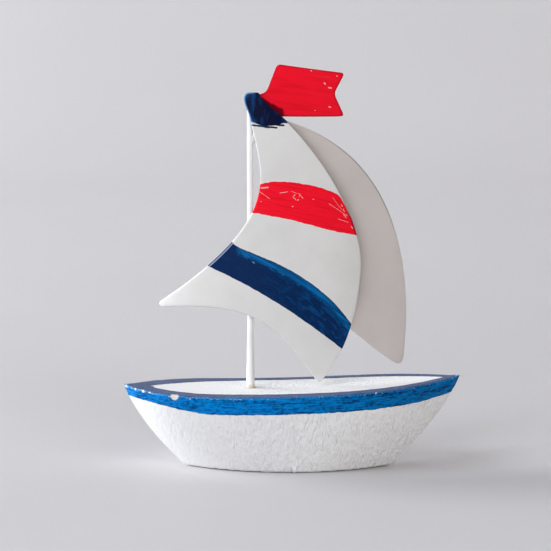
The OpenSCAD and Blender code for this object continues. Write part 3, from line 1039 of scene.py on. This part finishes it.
def navy_head(p, place, stroke, aft, edge_gap):
    """The navy head, with a painted highlight along its fore edge: where it is, and its colour."""
    ragged = p.noise(p.stretched(stroke, (0.09, 1.3, 1.0), (3, 2, 0)), 1.0, 4.0, 0.6)
    depth = p.plus(p.value("navy"), p.step(ragged, 0.3, 0.7, -0.7, 0.6))
    covered = p.calc("MAXIMUM", p.step(depth, -0.05, 0.05), p.lines(place, NAVY_FINGERS))
    tone = p.noise(p.stretched(place, (0.42, 0.16, 1.0), (2, 5, 0)), 1.0, 3.0, 0.5, 0.6)
    tone = p.plus(tone, p.step(aft, -10.5, -3.0, 0.10, -0.08))
    colour = p.mix(p.step(tone, 0.40, 0.68), NAVY, NAVY_LIGHT)
    # A pale line along the head's fore edge: a painted highlight where the rounded edge faces the light.
    painted_light = p.times(p.step(edge_gap, 0.75, 0.1), p.step(aft, -6.5, -9.5, 0.0, 0.8))
    return covered, p.mix(painted_light, colour, NAVY_EDGE_HIGHLIGHT)


def front_sail_paint():
    p = Paint("front_sail_paint")
    place, stroke, edge_gap = p.vector("place"), p.vector("stroke"), p.value("edge")
    front = p.value("front")
    aft = p.parts(place)["X"]
    white, orange_peel = white_tin(p, place, TIN_WHITE, TIN_WHITE_SHADE)
    wobble = p.noise(p.stretched(stroke, (0.35, 0.5, 1.0)), 1.0, 4.0, 0.6)
    edge = p.step(wobble, 0.3, 0.7, -0.14, 0.14)
    drag = p.noise(p.stretched(stroke, (0.07, 1.3, 1.0)), 1.0, 4.0, 0.6, 0.3)

    red, red_colour, scratched = red_stripe(p, place, aft, edge_gap, edge, drag)
    blue, blue_colour = blue_stripe(p, place, stroke, aft, edge_gap, edge, drag)
    navy, navy_colour = navy_head(p, place, stroke, aft, edge_gap)
    red_share = p.times(red, front)
    blue_share = p.times(blue, front)
    colour = p.mix(red_share, white, red_colour)
    colour = p.mix(blue_share, colour, blue_colour)
    colour = p.mix(navy, colour, navy_colour)

    film = p.calc("MAXIMUM", p.calc("MAXIMUM", red_share, blue_share), navy)
    relief = p.plus(p.times(orange_peel, 0.35), p.times(film, 0.12))
    relief = p.plus(relief, p.times(p.times(film, drag), 0.4))
    relief = p.minus(relief, p.times(p.times(scratched, red), 0.4))
    gloss = p.blend(film, 0.45, 0.36)
    specular = p.blend(film, 0.35, 0.07)
    return p.finish(colour, gloss, p.bump(relief, 0.12, 0.6), specular)


def rear_sail_paint():
    p = Paint("rear_sail_paint")
    # Darker, warmer white: painted shade of the front sail on the rear sail.
    colour, orange_peel = white_tin(p, p.vector("place"), REAR_SHADED_WHITE, REAR_SHADED_WHITE_DARK)
    return p.finish(colour, 0.45, p.bump(orange_peel, 0.05, 0.5), 0.35)


def pennant_paint():
    p = Paint("pennant_paint")
    place, edge_gap = p.vector("place"), p.value("edge")
    drag = p.noise(p.stretched(p.turned(place, 8.5), (0.06, 0.5, 1.0)), 1.0, 3.0, 0.5, 0.3)
    tone = p.times(p.step(drag, 0.30, 0.55, 0.3, 1.0), p.step(edge_gap, 0.2, 1.1, 0.35, 1.0))
    colour = p.mix(tone, RED_DEEP, RED)
    colour = p.mix(p.step(drag, 0.62, 0.8, 0.0, 0.5), colour, RED_PALE)
    smear = p.lines(place, PENNANT_SMEAR)
    smear = p.times(smear, p.step(drag, 0.3, 0.6, 0.6, 0.9))
    colour = p.mix(smear, colour, PENNANT_SMEARED)
    colour = p.mix(p.step(edge_gap, 0.6, 0.15, 0.0, 0.6), colour, PENNANT_EDGE)
    specks = p.lines(place, PENNANT_SPECKS)
    colour = p.mix(p.times(specks, 0.9), colour, PENNANT_SPECK)
    relief = p.minus(p.times(drag, 0.8), p.times(specks, 0.3))
    return p.finish(colour, p.step(drag, 0.3, 0.7, 0.40, 0.30), p.bump(relief, 0.10, 0.6), 0.08)


def mast_paint():
    p = Paint("mast_paint")
    place = p.vector("place")
    runs = p.noise(p.stretched(place, (1.2, 1.2, 0.12)), 1.0, 4.0)
    colour = p.mix(p.step(runs, 0.4, 0.7), MAST_WHITE, MAST_WHITE_SHADE)
    aft, _, up = p.parts(place)
    # The lower wire's aft side is darkened: painted shade on the side away from the light.
    aft_side = p.minus(aft, RIG_AXIS[0])
    painted_light = p.times(p.step(aft_side, 0.1, 1.1), p.step(up, 90.0, 50.0))
    colour = p.mix(p.times(painted_light, 0.5), colour, MAST_AFT_SHADE)
    foot = p.step(p.plus(p.value("base"), p.step(runs, 0.3, 0.7, -0.6, 0.6)), 1.6, 0.3)
    colour = p.mix(p.times(foot, 0.7), colour, MAST_FOOT)
    return p.finish(colour, 0.4, p.bump(runs, 0.08, 0.6), 0.35)


def solder_paint():
    p = Paint("solder_paint")
    place = p.vector("place")
    lumps = p.noise(place, 1.6, 4.0)
    colour = p.mix(p.step(lumps, 0.4, 0.65), SOLDER_WHITE, SOLDER_GREY)
    return p.finish(colour, 0.38, p.bump(lumps, 0.10, 0.7), 0.4)


def floor_paint():
    p = Paint("floor_paint")
    where = p.node("ShaderNodeTexCoord").outputs["Object"]
    colour = p.mix(p.step(p.noise(where, 3.0, 3.0), 0.3, 0.7), FLOOR_GREY, FLOOR_LIGHT)
    return p.finish(colour, 0.55, p.bump(p.noise(where, 900.0, 3.0), 0.02, 0.3), 0.3)


# ---- Put together ----

def attach(piece, body, node, material):
    piece.data.materials.clear()
    piece.data.materials.append(material)
    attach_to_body(piece, body)
    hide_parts(node)


attach(hull_piece(), "hull_body", "hull", hull_paint())
attach(mast_piece(), "rig", "mast", mast_paint())
attach(front_sail_piece(), "rig", "front_sail", front_sail_paint())
attach(
    plain_sheet_piece("rear_sail_sheet", rear_outline(), REAR, 0.7, 0.12, 14),
    "rig", "rear_sail", rear_sail_paint(),
)
attach(
    plain_sheet_piece("pennant_sheet", pennant_outline(), PENNANT, 0.5, 0.08, 17),
    "rig", "pennant", pennant_paint(),
)
solder = solder_paint()
SOLDER_NODES = [node for node in sorted(frame["nodes"]) if node.endswith("_solder")]
for number, node in enumerate(SOLDER_NODES):
    attach(solder_piece(node, 31 + number), "rig", node, solder)


# ---- Studio ----

FLOOR_NEAR = -1.6
FLOOR_HALF_WIDTH = 2.2
WALL_FOOT = 0.75
WALL_CURVE = 0.45
WALL_TOP = 2.4


def sweep():
    """A pale floor that curves up into a wall well behind the boat."""
    profile = [(FLOOR_NEAR, 0.0), (WALL_FOOT, 0.0)]
    for turn in np.linspace(0, math.pi / 2, 17)[1:]:
        profile.append((WALL_FOOT + WALL_CURVE * math.sin(turn), WALL_CURVE * (1 - math.cos(turn))))
    profile.append((WALL_FOOT + WALL_CURVE, WALL_TOP))
    points = [(x, y, z) for y, z in profile for x in (-FLOOR_HALF_WIDTH, FLOOR_HALF_WIDTH)]
    faces = [(2 * i, 2 * i + 1, 2 * i + 3, 2 * i + 2) for i in range(len(profile) - 1)]
    mesh = bpy.data.meshes.new("floor")
    mesh.from_pydata(points, [], faces)
    mesh.shade_smooth()
    mesh.materials.append(floor_paint())
    made = bpy.data.objects.new("floor", mesh)
    bpy.context.scene.collection.objects.link(made)


def studio_light(name, left_of_camera, elevation, size, power, colour,
                 target=(0.0, 0.0, 0.06), reach=2.3, spread=180):
    """A large soft light at a distance from its target, at an angle round from the camera's side."""
    turn, climb = math.radians(left_of_camera), math.radians(elevation)
    towards = Vector((
        -math.sin(turn) * math.cos(climb), -math.cos(turn) * math.cos(climb), math.sin(climb)
    ))
    data = bpy.data.lights.new(name, "AREA")
    data.shape = "RECTANGLE"
    data.size, data.size_y = size
    data.energy = power
    data.color = colour
    data.spread = math.radians(spread)
    made = bpy.data.objects.new(name, data)
    made.location = Vector(target) + towards * reach
    made.rotation_euler = (-towards).to_track_quat("-Z", "Y").to_euler()
    bpy.context.scene.collection.objects.link(made)


CAMERA_TARGET = Vector((-5.79, 0.0, 69.38)) * MM
CAMERA_ELEVATION = math.radians(10.0)
CAMERA_DISTANCE = 0.75


def camera():
    back = Vector((0.0, -math.cos(CAMERA_ELEVATION), math.sin(CAMERA_ELEVATION)))
    data = bpy.data.cameras.new("camera")
    data.sensor_width = 36.0
    data.lens = 138.5
    data.clip_start = 0.05
    made = bpy.data.objects.new("camera", data)
    made.location = CAMERA_TARGET + back * CAMERA_DISTANCE
    made.rotation_euler = (-back).to_track_quat("-Z", "Y").to_euler()
    bpy.context.scene.collection.objects.link(made)
    bpy.context.scene.camera = made


sweep()
camera()
# Name, degrees left of the camera, degrees up, size in metres, power, colour
LIGHTS = [
    ("low_window", 105, 12, (0.92, 0.92), 73.0, (0.97, 1.0, 1.03)),
    ("high_window", 62, 50, (1.2, 1.2), 28.8, (0.95, 1.0, 1.07)),
    ("room_ahead", 20, 12, (1.2, 1.2), 13.5, (0.98, 1.0, 1.01)),
    ("room_aft", -40, 30, (1.2, 1.2), 16.5, (1.05, 1.0, 0.95)),
]
for light in LIGHTS:
    studio_light(*light)
# A weak light from the right on the floor well behind the boat
studio_light(
    "far_floor", -90, 50, (1.0, 0.8), 1.5, (1.0, 0.99, 1.0),
    target=(0.4, 0.9, 0.1), reach=0.9, spread=90,
)
world = bpy.data.worlds.new("room")
world.use_nodes = True
background = world.node_tree.nodes["Background"]
background.inputs["Color"].default_value = (1.0, 0.98, 0.98, 1.0)
background.inputs["Strength"].default_value = 0.05
bpy.context.scene.world = world
bpy.context.scene.view_settings.view_transform = "Standard"
